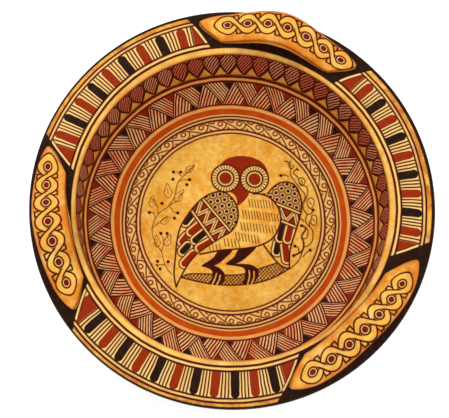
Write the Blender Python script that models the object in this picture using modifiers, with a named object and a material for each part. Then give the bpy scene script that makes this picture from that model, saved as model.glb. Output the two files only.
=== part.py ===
"""A painted pottery lekanis: a shallow round dish with a broad rim, a low ring foot and three strap handles.

The dish is thrown on the wheel, so its body is one turned profile. Each handle is a strap of clay that is
luted onto the rim at both ends and arches over it, with a finger gap underneath. The firing makes one body
of them all. Lengths are in metres, the dish stands on Z = 0 and its axis is the Z axis.
"""

import math

import bmesh
import bpy
import numpy as np

MM = 0.001

# Bowl, measured on its inner surface
LIP_RADIUS = 100.0 * MM
BOWL_DEPTH = 54.5 * MM
WALL_LEAN = 1.6 * MM
CORNER_RISE = 7.9 * MM
FLOOR_RADIUS = 77.0 * MM
FLOOR_DISH = 1.3 * MM
WALL_THICKNESS = 7.0 * MM
FLOOR_THICKNESS = 8.5 * MM

# Rim
RIM_WIDTH = 30.0 * MM
RIM_DROP = 3.4 * MM
RIM_CROWN = 2.8 * MM
RIM_EDGE_THICKNESS = 6.5 * MM
RIM_ROOT_THICKNESS = 9.0 * MM

# Ring foot
FOOT_RADIUS = 76.0 * MM
FOOT_WIDTH = 8.0 * MM
FOOT_HEIGHT = 7.0 * MM
FOOT_FLARE = 1.5 * MM

# Rounding of the turned profile
LIP_ROUND = 1.2 * MM
RIM_EDGE_ROUND = 2.6 * MM
RIM_ROOT_ROUND = 6.0 * MM
INNER_CORNER_ROUND = 8.0 * MM
OUTER_CORNER_ROUND = 15.0 * MM
FLOOR_ROUND = 30.0 * MM
FOOT_ROUND = 1.2 * MM
FOOT_ROOT_ROUND = 3.0 * MM

# Strap handles
STRAP_THICKNESS = 5.5 * MM
STRAP_SINK = 1.5 * MM
STRAP_INNER_INSET = 3.0 * MM
STRAP_OUTER_INSET = 3.8 * MM
STRAP_INNER_FLARE = 2.2 * MM
STRAP_TIP_DRAW = 4.0 * MM
STRAP_INNER_RISE = 24.0 * MM
STRAP_OUTER_RISE = 17.0 * MM
STRAP_OUTER_ARCH = 0.66
STRAP_EDGE_ROUND = 1.6 * MM
ARCH_POWER = 1.7
END_CURVE_POWER = 1.6
TIP_DRAW_POWER = 6
SHOULDER_TURN = 1.25 * math.pi

# Each handle's middle, and its half angles along the inner and the outer edge, in degrees; then how the hand has
# made it unlike the others: a shift outwards, a skew in the rim's plane and a pinch of the outer edge
STRAPS = {
    "strap_back": (74.5, 19.2, 25.9, 1.0 * MM, 0.4 * MM, -0.6 * MM),
    "strap_left": (188.4, 18.4, 26.1, 1.0 * MM, -1.3 * MM, 0.0 * MM),
    "strap_right": (314.9, 19.8, 28.2, 0.4 * MM, 0.0 * MM, 1.3 * MM),
}

TURNED_STEPS = 60
ARC_STEP = math.radians(30.0)
RIM_SAMPLES = 5
STRAP_LENGTH_CUTS = 18
STRAP_WIDTH_CUTS = 2
SHARP_ANGLE = math.radians(35.0)
MERGE_DISTANCE = 0.01 * MM

CLAY_COLOUR = (0.80, 0.42, 0.10, 1.0)
CLAY_ROUGHNESS = 0.45

FLOOR_HEIGHT = FOOT_HEIGHT + FLOOR_THICKNESS
LIP_HEIGHT = FLOOR_HEIGHT + BOWL_DEPTH
RIM_RADIUS = LIP_RADIUS + RIM_WIDTH
WALL_FOOT_RADIUS = LIP_RADIUS - WALL_LEAN


def clear_scene():
    """Removes whatever objects the open file holds."""
    for thing in list(bpy.data.objects):
        bpy.data.objects.remove(thing, do_unlink=True)


def new_collection(name):
    """A collection of this name in the scene, made if it isn't there yet."""
    found = bpy.data.collections.get(name) or bpy.data.collections.new(name)
    if found.name not in bpy.context.scene.collection.children:
        bpy.context.scene.collection.children.link(found)
    return found


def clay_material():
    """Plain fired clay with a slight sheen."""
    clay = bpy.data.materials.new("fired_clay")
    clay.use_nodes = True
    shader = clay.node_tree.nodes["Principled BSDF"]
    shader.inputs["Base Color"].default_value = CLAY_COLOUR
    shader.inputs["Roughness"].default_value = CLAY_ROUGHNESS
    shader.inputs["Metallic"].default_value = 0.0
    return clay


def rim_height(radius):
    """Height of the rim's top: a straight fall from lip to edge plus a parabolic crown."""
    share = (radius - LIP_RADIUS) / RIM_WIDTH
    return LIP_HEIGHT - RIM_DROP * share + 4.0 * RIM_CROWN * share * (1.0 - share)


def floor_height(radius):
    """Height of the bowl's inner floor: nearly flat to FLOOR_RADIUS, then a ramp up to the wall."""
    radii = [0.0, FLOOR_RADIUS, WALL_FOOT_RADIUS]
    heights = [FLOOR_HEIGHT, FLOOR_HEIGHT + FLOOR_DISH, FLOOR_HEIGHT + CORNER_RISE]
    return float(np.interp(radius, radii, heights))


def rounded(corners):
    """A polyline (radius, height) through corners (radius, height, round), each round one cut by an arc."""
    points = []
    for before, here, after in zip([None] + corners[:-1], corners, corners[1:] + [None]):
        place, fillet = np.array(here[:2]), here[2]
        if fillet == 0.0 or before is None or after is None:
            points.append(tuple(place))
            continue
        back = np.array(before[:2]) - place
        ahead = np.array(after[:2]) - place
        room = 0.48 * min(np.linalg.norm(back), np.linalg.norm(ahead))
        back, ahead = back / np.linalg.norm(back), ahead / np.linalg.norm(ahead)
        turn = math.pi - math.acos(max(-1.0, min(1.0, float(back @ ahead))))
        fillet = min(fillet, room / math.tan(turn / 2.0))
        centre = place + (back + ahead) / np.linalg.norm(back + ahead) * fillet / math.cos(turn / 2.0)
        start = place + back * fillet * math.tan(turn / 2.0) - centre
        count = max(2, math.ceil(turn / ARC_STEP))
        way = math.copysign(1.0, back[1] * ahead[0] - back[0] * ahead[1])
        for step in range(count + 1):
            angle = way * turn * step / count
            spin = np.array([[math.cos(angle), -math.sin(angle)], [math.sin(angle), math.cos(angle)]])
            points.append(tuple(centre + spin @ start))
    return points


def dish_profile():
    """Half section of the dish, from the middle of its floor over the rim and down to its underside."""
    rim_edge = LIP_HEIGHT - RIM_DROP
    under_wall = FLOOR_HEIGHT + CORNER_RISE - FLOOR_THICKNESS
    foot_inner = FOOT_RADIUS - FOOT_WIDTH
    foot_root = FOOT_RADIUS - FOOT_FLARE
    cove = foot_inner - FOOT_FLARE
    corners = [
        (0.0, FLOOR_HEIGHT, 0.0),
        (FLOOR_RADIUS, FLOOR_HEIGHT + FLOOR_DISH, FLOOR_ROUND),
        (WALL_FOOT_RADIUS, FLOOR_HEIGHT + CORNER_RISE, INNER_CORNER_ROUND),
        (LIP_RADIUS, LIP_HEIGHT, LIP_ROUND),
    ]
    for sample in range(1, RIM_SAMPLES):
        radius = LIP_RADIUS + RIM_WIDTH * sample / RIM_SAMPLES
        corners.append((radius, rim_height(radius), 0.0))
    corners += [
        (RIM_RADIUS, rim_edge, RIM_EDGE_ROUND),
        (RIM_RADIUS, rim_edge - RIM_EDGE_THICKNESS, RIM_EDGE_ROUND),
        (LIP_RADIUS + WALL_THICKNESS, LIP_HEIGHT - RIM_ROOT_THICKNESS, RIM_ROOT_ROUND),
        (WALL_FOOT_RADIUS + WALL_THICKNESS, under_wall, OUTER_CORNER_ROUND),
        (foot_root, floor_height(foot_root) - FLOOR_THICKNESS, FOOT_ROOT_ROUND),
        (FOOT_RADIUS, 0.0, FOOT_ROUND),
        (foot_inner, 0.0, FOOT_ROUND),
        (cove, floor_height(cove) - FLOOR_THICKNESS, FOOT_ROOT_ROUND),
        (0.0, FOOT_HEIGHT, 0.0),
    ]
    return rounded(corners)


def turned_dish(collection, material):
    """The wheel-thrown body: its half section, turned about the Z axis."""
    profile = dish_profile()
    mesh = bpy.data.meshes.new("lekanis")
    vertices = [(radius, 0.0, height) for radius, height in profile]
    mesh.from_pydata(vertices, [(n, n + 1) for n in range(len(profile) - 1)], [])
    mesh.materials.append(material)
    dish = bpy.data.objects.new("lekanis", mesh)
    collection.objects.link(dish)
    turning = dish.modifiers.new("turning", "SCREW")
    turning.axis = "Z"
    turning.angle = 2.0 * math.pi
    turning.steps = TURNED_STEPS
    turning.render_steps = TURNED_STEPS
    turning.use_merge_vertices = True
    turning.merge_threshold = MERGE_DISTANCE
    turning.use_smooth_shade = True
    return dish


def strap_point(along, across, inner_half, outer_half, shift, skew, pinch):
    """Radius, angle from the strap's middle and height of its top face.

    along runs from -1 to 1 between the two ends, across from 0 at the inner edge to 1 at the outer one.
    Both edges rise from the rim in a cosine arch; the outer arch is lower and shorter than the inner one. The
    pinch draws the outer edge in at the middle and out at the shoulders, as a cosine.
    """
    inner = LIP_RADIUS + STRAP_INNER_INSET + STRAP_INNER_FLARE * along**2
    outer = RIM_RADIUS - STRAP_OUTER_INSET - STRAP_TIP_DRAW * along**TIP_DRAW_POWER
    outer -= pinch * math.cos(SHOULDER_TURN * along)
    radius = inner + (outer - inner) * across + shift + skew * along
    swing = 1.0 - (1.0 - across) ** END_CURVE_POWER
    angle = along * (inner_half + (outer_half - inner_half) * swing)
    reach = 1.0 + (STRAP_OUTER_ARCH - 1.0) * across
    arch = math.cos(math.pi / 2.0 * min(abs(along) / reach, 1.0)) ** ARCH_POWER
    seat = rim_height(radius) + STRAP_THICKNESS - STRAP_SINK
    peak = LIP_HEIGHT + STRAP_INNER_RISE + (STRAP_OUTER_RISE - STRAP_INNER_RISE) * across
    return radius, angle, seat + (peak - seat) * arch


def strap(name, middle, inner_half, outer_half, handwork, collection):
    """One handle: an arched ribbon of clay whose ends sink into the rim."""
    ribbon = bmesh.new()
    bmesh.ops.create_grid(ribbon, x_segments=STRAP_LENGTH_CUTS, y_segments=STRAP_WIDTH_CUTS, size=1.0)
    for vertex in ribbon.verts:
        along, across = -vertex.co.x, (vertex.co.y + 1.0) / 2.0
        halves = math.radians(inner_half), math.radians(outer_half)
        radius, angle, height = strap_point(along, across, *halves, *handwork)
        turn = math.radians(middle) + angle
        vertex.co = (radius * math.cos(turn), radius * math.sin(turn), height)
    mesh = bpy.data.meshes.new(name)
    ribbon.to_mesh(mesh)
    ribbon.free()
    handle = bpy.data.objects.new(name, mesh)
    collection.objects.link(handle)
    handle.hide_render = True
    handle.display_type = "WIRE"
    body = handle.modifiers.new("strap thickness", "SOLIDIFY")
    body.thickness = STRAP_THICKNESS
    body.offset = -1.0
    body.use_even_offset = True
    edge = handle.modifiers.new("wiped edges", "BEVEL")
    edge.width = STRAP_EDGE_ROUND
    edge.segments = 2
    edge.limit_method = "ANGLE"
    edge.angle_limit = math.radians(50.0)
    return handle


def lute(dish, handle):
    """Joins a handle to the dish, as the wet clay does."""
    join = dish.modifiers.new("luted " + handle.name, "BOOLEAN")
    join.operation = "UNION"
    join.solver = "EXACT"
    join.object = handle


def main():
    clear_scene()
    vessel = new_collection("lekanis")
    cutters = new_collection("strap shapes")
    dish = turned_dish(vessel, clay_material())
    for name, (middle, inner_half, outer_half, *handwork) in STRAPS.items():
        lute(dish, strap(name, middle, inner_half, outer_half, handwork, cutters))
    dish.data.shade_smooth()
    dish.data.set_sharp_from_angle(angle=SHARP_ANGLE)


main()
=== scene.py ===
"""The looks of a painted pottery lekanis: golden clay with bands and an owl in black, red and orange slip.

The dish is one turned surface whose middle carries a fine mesh, and on it the picture is stored as paint
depths, in millimetres inside each colour. The bands around it and the twist on the handles are worked out in
the shader from the polar coordinates of the point. Sizes here are in millimetres, and angles in degrees,
unless a name says otherwise.
"""

import math

import bpy
import numpy as np
from mathutils import Matrix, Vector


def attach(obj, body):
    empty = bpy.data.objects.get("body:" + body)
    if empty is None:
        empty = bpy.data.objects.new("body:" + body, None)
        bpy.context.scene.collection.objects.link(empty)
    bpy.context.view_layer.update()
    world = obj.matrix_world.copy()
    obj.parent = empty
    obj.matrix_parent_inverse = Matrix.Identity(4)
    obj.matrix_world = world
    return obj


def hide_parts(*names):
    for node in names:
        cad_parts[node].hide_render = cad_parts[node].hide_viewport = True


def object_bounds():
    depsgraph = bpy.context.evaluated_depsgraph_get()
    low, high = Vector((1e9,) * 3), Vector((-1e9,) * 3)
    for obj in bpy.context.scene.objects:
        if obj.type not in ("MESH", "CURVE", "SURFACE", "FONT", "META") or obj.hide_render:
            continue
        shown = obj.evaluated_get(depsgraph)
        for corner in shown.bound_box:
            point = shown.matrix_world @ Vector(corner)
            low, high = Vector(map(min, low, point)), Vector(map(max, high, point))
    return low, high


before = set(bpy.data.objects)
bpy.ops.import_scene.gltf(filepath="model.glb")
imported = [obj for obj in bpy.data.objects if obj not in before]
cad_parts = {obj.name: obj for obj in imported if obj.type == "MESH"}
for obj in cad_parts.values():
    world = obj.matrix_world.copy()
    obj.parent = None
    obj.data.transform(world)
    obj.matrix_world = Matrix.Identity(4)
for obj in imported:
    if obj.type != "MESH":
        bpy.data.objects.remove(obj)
CAD_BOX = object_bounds()

MM = 0.001

# Turned body
RIM_RADIUS = CAD_BOX[1][0] / MM
RIM_WIDTH = 30.0
LIP_RADIUS = RIM_RADIUS - RIM_WIDTH
FOOT_HEIGHT = 7.0
FLOOR_THICKNESS = 8.5
BOWL_DEPTH = 54.5
FLOOR_HEIGHT = FOOT_HEIGHT + FLOOR_THICKNESS
LIP_HEIGHT = FLOOR_HEIGHT + BOWL_DEPTH
FLOOR_RADIUS = 77.0
FLOOR_DISH = 1.3
CORNER_RISE = 7.9
WALL_FOOT_RADIUS = LIP_RADIUS - 1.6
WALL_THICKNESS = 7.0
RIM_DROP = 3.4
RIM_CROWN = 2.8
RIM_EDGE_THICKNESS = 6.5
RIM_ROOT_THICKNESS = 9.0
FOOT_RADIUS = 76.0
FOOT_WIDTH = 8.0
FOOT_FLARE = 1.5
LIP_ROUND = 1.2
RIM_EDGE_ROUND = 2.6
RIM_ROOT_ROUND = 6.0
INNER_CORNER_ROUND = 8.0
OUTER_CORNER_ROUND = 15.0
FLOOR_ROUND = 30.0
FOOT_ROUND = 1.2
FOOT_ROOT_ROUND = 3.0

# Strap handles, made by hand and so a little unlike: middle, half angle of the inner and of the outer edge,
# shift outwards, skew in the rim's plane and pinch of the outer edge; then the eyes of its twist: how many,
# the first one's angle and the step between them, the radius of their row at the ends, its bow and its skew
STRAPS = {
    "strap_back": ((74.5, 19.2, 25.9, 1.0, 0.4, -0.6), (7, 53.7, 6.32, 117.8, 0.8, 0.0)),
    "strap_left": ((188.4, 18.4, 26.1, 1.0, -1.3, 0.0), (7, 168.8, 6.25, 118.3, 1.6, -1.7)),
    "strap_right": ((314.9, 19.8, 28.2, 0.4, 0.0, 1.3), (7, 294.8, 6.55, 118.4, 2.4, 0.0)),
}
STRAP_THICKNESS = 5.5
STRAP_SINK = 1.5
STRAP_INNER_INSET = 3.0
STRAP_OUTER_INSET = 3.8
STRAP_INNER_FLARE = 2.2
STRAP_TIP_DRAW = 4.0
STRAP_INNER_RISE = 23.95
STRAP_OUTER_RISE = 17.0
STRAP_OUTER_ARCH = 0.66
STRAP_EDGE_ROUND = 1.7
ARCH_POWER = 1.7
END_CURVE_POWER = 1.6
TIP_DRAW_POWER = 6
SHOULDER_TURN = 1.25 * math.pi

# Meshes: fine under the picture, coarser around it
PICTURE_RADIUS = 58.0
PICTURE_STEP = 0.48
PICTURE_SPOKES = 832
BODY_SPOKES = 208
PROFILE_STEP = 5.0
RIM_CROWN_PARTS = 12
STRAP_STATIONS = 120
END_STATIONS, END_SKIP = 6, 3
ARC_POINTS = 5
TOP_PARTS = 30
UNDER_PARTS = 12

# Slip and clay colours as the eye sees them, 0 to 255
HONEY = (236, 160, 38)
STRAW = (255, 200, 86)
AMBER = (216, 116, 26)
# Brown of random stains, and of painted shade on the lip's inner rounding
STAIN_AND_SHADE = (186, 100, 42)
PALE = (255, 220, 136)
PEACH = (255, 172, 94)
CREAM = (255, 202, 122)
BAR_PALE = (255, 218, 142)
OWL_PALE = (255, 206, 116)
RED_SLIP = (146, 34, 0)
RIM_RED = (146, 42, 10)
PUPIL_RED = (118, 18, 4)
BLACK_SLIP = (38, 18, 10)
INK = (60, 10, 2)
FLOOR_INK = (92, 14, 4)
INK_BLEED = (150, 46, 10)
# Brown of the picture's wash and of clay clouds, and of the painted shade line along the straps' edges
BROWN_WASH_AND_SHADE = (124, 52, 12)
ORANGE_SLIP = (200, 70, 0)
ORANGE_GLOW = (222, 92, 12)
HATCH_GROUND = (78, 0, 0)
HATCH_LINES = (255, 150, 92)
HATCH_PALE = (255, 196, 128)
TONGUE_BLACK = (46, 8, 4)
TONGUE_RED = (84, 6, 4)
TONGUE_DUN = (230, 150, 110)
TONGUE_ROSE = (216, 112, 82)
BARE_CLAY = (204, 124, 70)
# Painted shade: brown that the wall's ground darkens to towards its top
PAINTED_WALL_SHADE = (136, 44, 16)

SOFT_EDGE = 0.2
HAND_WOBBLE = 0.9
BLEED_REACH, BLEED_SOFT, BLEED_SHARE = 0.25, 0.3, 0.5
FAR = 50.0


def rim_height(radius):
    """Rim top: a straight fall from lip to edge plus a parabolic crown."""
    share = (radius - LIP_RADIUS) / RIM_WIDTH
    return LIP_HEIGHT - RIM_DROP * share + 4.0 * RIM_CROWN * share * (1.0 - share)


def floor_height(radius):
    """Bowl floor: nearly flat out to FLOOR_RADIUS, then a ramp up to the wall."""
    rises = [0.0, FLOOR_DISH, CORNER_RISE]
    return FLOOR_HEIGHT + np.interp(radius, [0.0, FLOOR_RADIUS, WALL_FOOT_RADIUS], rises)


# Meshes


def rounded(corners, step=math.radians(9.0)):
    """The polyline through corners (radius, height, round), where an arc of that round cuts each corner."""
    points = []
    for before, here, after in zip([None] + corners[:-1], corners, corners[1:] + [None]):
        place, fillet = np.array(here[:2]), here[2]
        if fillet == 0.0:
            points.append(place)
            continue
        back, ahead = np.array(before[:2]) - place, np.array(after[:2]) - place
        room = 0.48 * min(np.linalg.norm(back), np.linalg.norm(ahead))
        back, ahead = back / np.linalg.norm(back), ahead / np.linalg.norm(ahead)
        turn = math.pi - math.acos(float(back @ ahead))
        fillet = min(fillet, room / math.tan(turn / 2.0))
        reach = fillet / math.cos(turn / 2.0)
        centre = place + (back + ahead) / np.linalg.norm(back + ahead) * reach
        start = place + back * fillet * math.tan(turn / 2.0) - centre
        angles = np.linspace(0.0, turn, max(3, math.ceil(turn / step) + 1))
        angles = angles * math.copysign(1.0, back[1] * ahead[0] - back[0] * ahead[1])
        sideways = np.array([-start[1], start[0]])
        points.extend(centre + np.cos(angles)[:, None] * start + np.sin(angles)[:, None] * sideways)
    return np.array(points)


def dish_profile():
    """Radius and height from the picture's edge over bands, wall and rim to the underside's middle."""
    rim_edge = LIP_HEIGHT - RIM_DROP
    corner_height = FLOOR_HEIGHT + CORNER_RISE
    foot_root = FOOT_RADIUS - FOOT_FLARE
    foot_inner = FOOT_RADIUS - FOOT_WIDTH
    cove = foot_inner - FOOT_FLARE
    corners = [
        (PICTURE_RADIUS, floor_height(PICTURE_RADIUS), 0.0),
        (FLOOR_RADIUS, floor_height(FLOOR_RADIUS), FLOOR_ROUND),
        (WALL_FOOT_RADIUS, corner_height, INNER_CORNER_ROUND),
        (LIP_RADIUS, LIP_HEIGHT, LIP_ROUND),
    ]
    crown = LIP_RADIUS + RIM_WIDTH * np.arange(1, RIM_CROWN_PARTS) / RIM_CROWN_PARTS
    corners += [(radius, rim_height(radius), 0.0) for radius in crown]
    corners += [
        (RIM_RADIUS, rim_edge, RIM_EDGE_ROUND),
        (RIM_RADIUS, rim_edge - RIM_EDGE_THICKNESS, RIM_EDGE_ROUND),
        (LIP_RADIUS + WALL_THICKNESS, LIP_HEIGHT - RIM_ROOT_THICKNESS, RIM_ROOT_ROUND),
        (WALL_FOOT_RADIUS + WALL_THICKNESS, corner_height - FLOOR_THICKNESS, OUTER_CORNER_ROUND),
        (foot_root, floor_height(foot_root) - FLOOR_THICKNESS, FOOT_ROOT_ROUND),
        (FOOT_RADIUS, 0.0, FOOT_ROUND),
        (foot_inner, 0.0, FOOT_ROUND),
        (cove, floor_height(cove) - FLOOR_THICKNESS, FOOT_ROOT_ROUND),
        (0.0, FOOT_HEIGHT, 0.0),
    ]
    points = rounded(corners)
    fine = [points[:1]]
    for start, end in zip(points[:-1], points[1:]):
        pieces = math.ceil(np.linalg.norm(end - start) / PROFILE_STEP)
        fine.append(start + np.arange(1, pieces + 1)[:, None] / pieces * (end - start))
    return np.concatenate(fine)


def picture_rings():
    """Radius and spokes of the rings under the picture, from its middle out: the spokes double outwards."""
    radii = PICTURE_RADIUS - PICTURE_STEP * np.arange(int(PICTURE_RADIUS / PICTURE_STEP))[::-1]
    halvings = np.clip(np.log2(PICTURE_RADIUS / radii), 0, 4).astype(int)
    return [(radius, PICTURE_SPOKES >> int(times)) for radius, times in zip(radii, halvings)]


def ring_band(inner_start, inner_count, outer_start, outer_count):
    """Faces between two rings, of which one may have two or four times the spokes of the other."""
    count = min(inner_count, outer_count)
    spoke = np.arange(count)
    inner_per, outer_per = inner_count // count, outer_count // count
    outward = [outer_start + (spoke * outer_per + k) % outer_count for k in range(outer_per + 1)]
    inward = [inner_start + (spoke * inner_per + k) % inner_count for k in range(inner_per, -1, -1)]
    return np.stack(outward + inward, axis=1)


def mesh_piece(name, points, face_groups, materials, slots):
    """A smooth mesh object from points in millimetres and groups of faces, with a material slot a group."""
    mesh = bpy.data.meshes.new(name)
    faces = [row for group in face_groups for row in group.tolist()]
    mesh.from_pydata((points * MM).tolist(), [], faces)
    for material in materials:
        mesh.materials.append(material)
    mesh.polygons.foreach_set("material_index", np.repeat(slots, [len(group) for group in face_groups]))
    mesh.shade_smooth()
    mesh.update()
    piece = bpy.data.objects.new(name, mesh)
    bpy.context.scene.collection.objects.link(piece)
    return piece


ZONES = ("picture", "bands", "wall", "rim", "outside", "underside")
BANDS_TOP = LIP_HEIGHT - 42.0
WALL_TOP = LIP_HEIGHT - 0.6


def dish_zone(radius, height, inside):
    """The finish that a ring of the dish belongs to, as an index into ZONES."""
    if not inside:
        beneath = radius < FOOT_RADIUS - FOOT_WIDTH / 2.0 and height < FLOOR_HEIGHT
        return ZONES.index("underside" if beneath else "outside")
    if radius < PICTURE_RADIUS:
        return ZONES.index("picture")
    if radius < WALL_FOOT_RADIUS and height < BANDS_TOP:
        return ZONES.index("bands")
    return ZONES.index("wall" if radius < LIP_RADIUS and height < WALL_TOP else "rim")


def turned_dish(materials):
    """The dish: rings of radius and height turned about Z, closed by a pole above and one underneath."""
    rings = [(radius, float(floor_height(radius)), count) for radius, count in picture_rings()]
    profile = dish_profile()[1:-1]
    outermost = len(rings) + int(np.argmax(profile[:, 0] > RIM_RADIUS - 0.1))
    rings += [(radius, height, BODY_SPOKES) for radius, height in profile]
    points, starts, start = [np.array([[0.0, 0.0, FLOOR_HEIGHT]])], [], 1
    for radius, height, count in rings:
        angle = 2.0 * math.pi * np.arange(count) / count
        points.append(np.stack([radius * np.cos(angle), radius * np.sin(angle), np.full(count, height)], 1))
        starts.append(start)
        start += count
    points.append(np.array([[0.0, 0.0, FOOT_HEIGHT]]))
    spoke = np.arange(rings[0][2])
    groups = [np.stack([0 * spoke, 1 + spoke, 1 + (spoke + 1) % len(spoke)], 1)]
    slots = [ZONES.index("picture")]
    for ring, (here, beyond) in enumerate(zip(rings[:-1], rings[1:])):
        groups.append(ring_band(starts[ring], here[2], starts[ring + 1], beyond[2]))
        slots.append(dish_zone((here[0] + beyond[0]) / 2.0, (here[1] + beyond[1]) / 2.0, ring < outermost))
    spoke = np.arange(rings[-1][2])
    last = starts[-1]
    groups.append(np.stack([last + spoke, 0 * spoke + start, last + (spoke + 1) % len(spoke)], 1))
    slots.append(ZONES.index("underside"))
    return mesh_piece("painted_dish", np.concatenate(points), groups, materials, slots)


def strap_top(along, across, middle, inner_half, outer_half, shift, skew, pinch):
    """A point of a strap's top face, whose both edges rise from the rim in a cosine arch.

    along runs from -1 to 1 between the ends, and across from 0 at the inner to 1 at the outer edge. The
    pinch draws the outer edge in at the middle and out at the shoulders, as a cosine.
    """
    inner = LIP_RADIUS + STRAP_INNER_INSET + STRAP_INNER_FLARE * along**2
    outer = RIM_RADIUS - STRAP_OUTER_INSET - STRAP_TIP_DRAW * along**TIP_DRAW_POWER
    outer = outer - pinch * np.cos(SHOULDER_TURN * along)
    radius = inner + (outer - inner) * across + shift + skew * along
    swing = 1.0 - (1.0 - np.clip(across, 0.0, 1.0)) ** END_CURVE_POWER
    angle = np.radians(middle + along * (inner_half + (outer_half - inner_half) * swing))
    reach = 1.0 + (STRAP_OUTER_ARCH - 1.0) * across
    arch = np.cos(math.pi / 2.0 * np.minimum(np.abs(along) / reach, 1.0)) ** ARCH_POWER
    seat = rim_height(radius) + STRAP_THICKNESS - STRAP_SINK
    peak = LIP_HEIGHT + STRAP_INNER_RISE + (STRAP_OUTER_RISE - STRAP_INNER_RISE) * across
    return np.stack([radius * np.cos(angle), radius * np.sin(angle), seat + (peak - seat) * arch], axis=-1)


def strap_section():
    """Loop round a strap's section: shares of width and thickness at each corner's centre, and the turn."""
    quarter = np.radians(np.linspace(0.0, 90.0, ARC_POINTS))
    top, under = np.linspace(1.0, 0.0, TOP_PARTS)[1:-1], np.linspace(0.0, 1.0, UNDER_PARTS)[1:-1]
    across = np.concatenate([np.ones(ARC_POINTS), top, np.zeros(2 * ARC_POINTS), under, np.ones(ARC_POINTS)])
    down = np.concatenate([np.zeros(2 * ARC_POINTS + len(top)), np.ones(2 * ARC_POINTS + len(under))])
    flat_top, flat_under = np.full(len(top), math.pi / 2.0), np.full(len(under), 1.5 * math.pi)
    above = [quarter, flat_top, quarter + math.pi / 2.0]
    below = [quarter + math.pi, flat_under, quarter + 1.5 * math.pi]
    return across, down, np.concatenate(above + below)


def strap_piece(name, shape, materials):
    """A strap: a round-cornered section swept along the arch, drawn in to a round edge at each end.

    A section's point goes down from the top face along its normal, which is the cross product of the steps
    outward and forward.
    """
    width = RIM_WIDTH - STRAP_INNER_INSET - STRAP_OUTER_INSET
    length = 2.0 * math.radians(shape[2]) * (LIP_RADIUS + RIM_WIDTH / 2.0)
    across, down, turn = strap_section()
    end_turn = np.radians(np.linspace(0.0, 90.0, END_STATIONS))
    nearing = STRAP_EDGE_ROUND * (1.0 - np.cos(end_turn)) / (length / 2.0)
    middle_stretch = np.linspace(-1.0, 1.0, STRAP_STATIONS)[END_SKIP:-END_SKIP]
    along = np.concatenate([nearing - 1.0, middle_stretch, 1.0 - nearing[::-1]])
    gap = np.maximum(STRAP_EDGE_ROUND - (1.0 - np.abs(along)) * length / 2.0, 0.0)
    inset = STRAP_EDGE_ROUND - np.sqrt(np.maximum(STRAP_EDGE_ROUND**2 - gap**2, 0.0))
    round_left = STRAP_EDGE_ROUND - np.minimum(inset, 0.97 * STRAP_EDGE_ROUND)[:, None]
    sideways = STRAP_EDGE_ROUND + (width - 2.0 * STRAP_EDGE_ROUND) * across + round_left * np.cos(turn)
    depth = STRAP_EDGE_ROUND + (STRAP_THICKNESS - 2.0 * STRAP_EDGE_ROUND) * down - round_left * np.sin(turn)
    step = 1e-3
    u = np.clip(np.repeat(along[:, None], len(turn), axis=1), step - 1.0, 1.0 - step)
    v = sideways / width
    forward = strap_top(u + step, v, *shape) - strap_top(u - step, v, *shape)
    outward = strap_top(u, v + step, *shape) - strap_top(u, v - step, *shape)
    normal = np.cross(outward, forward)
    normal /= np.linalg.norm(normal, axis=-1, keepdims=True)
    points = strap_top(np.repeat(along[:, None], len(turn), axis=1), v, *shape) - normal * depth[..., None]
    index = np.arange(points.shape[0] * points.shape[1]).reshape(points.shape[:2])
    here, beyond = index[:-1], index[1:]
    quads = np.stack([here, beyond, np.roll(beyond, -1, axis=1), np.roll(here, -1, axis=1)], axis=-1)
    upper = np.roll(down, -1) + down < 0.5
    groups = [quads[:, upper].reshape(-1, 4), quads[:, ~upper].reshape(-1, 4), index[:1], index[-1:, ::-1]]
    piece = mesh_piece(name, points.reshape(-1, 3), groups, materials, [0, 1, 1, 1])
    # Distance from the edges and ends, for the painted shade along them
    from_end = ((1.0 - np.abs(along)) * length / 2.0)[:, None]
    from_edge = np.minimum(np.minimum(sideways, width - sideways), from_end).reshape(-1)
    kept = piece.data.attributes.new("from_edge", "FLOAT", "POINT")
    kept.data.foreach_set("value", from_edge.astype(np.float32))
    return piece


# The picture, as paint depths


CURVE_STEPS = 6


def curve_through(points, closed=False):
    """Smooth line through the points: each span is a cubic, with half the neighbours' step as end slopes."""
    points = np.array(points, float)
    if closed:
        points = np.concatenate([points[-1:], points, points[:2]])
    else:
        points = np.concatenate([2 * points[:1] - points[1:2], points, 2 * points[-1:] - points[-2:-1]])
    before, start, end, after = points[:-3], points[1:-2], points[2:-1], points[3:]
    t = (np.arange(CURVE_STEPS) / CURVE_STEPS)[:, None, None]
    slope_in, slope_out = (end - before) / 2.0, (after - start) / 2.0
    cubic = (2 * t**3 - 3 * t**2 + 1) * start + (t**3 - 2 * t**2 + t) * slope_in
    cubic = cubic + (3 * t**2 - 2 * t**3) * end + (t**3 - t**2) * slope_out
    route = cubic.transpose(1, 0, 2).reshape(-1, 2)
    return route if closed else np.concatenate([route, end[-1:]])


def joined(*runs):
    """Smooth lines through the runs as one line, where each run begins at the end of the one before."""
    curves = [curve_through(run) for run in runs]
    return np.concatenate(curves[:1] + [curve[1:] for curve in curves[1:]])


def ringed(outline):
    """The outline with its first point once more at the end."""
    return np.concatenate([outline, outline[:1]])


def distance_to(route, points):
    """Distance from each point to the nearest place on the polyline."""
    start, span = route[:-1], np.diff(route, axis=0)
    offset = points[:, None, :] - start
    share = np.clip((offset * span).sum(2) / np.maximum((span**2).sum(1), 1e-9), 0.0, 1.0)
    return np.linalg.norm(offset - share[..., None] * span, axis=2).min(1)


def is_inside(outline, points):
    """Whether each point is inside the closed outline: a ray from it crosses an odd number of sides."""
    x, y = points[:, :1], points[:, 1:]
    (ax, ay), (bx, by) = outline.T, np.roll(outline, -1, axis=0).T
    rise = np.where(by == ay, 1e-9, by - ay)
    crossed = ((ay > y) != (by > y)) & (x < ax + (bx - ax) * (y - ay) / rise)
    return crossed.sum(1) % 2 == 1


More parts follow.
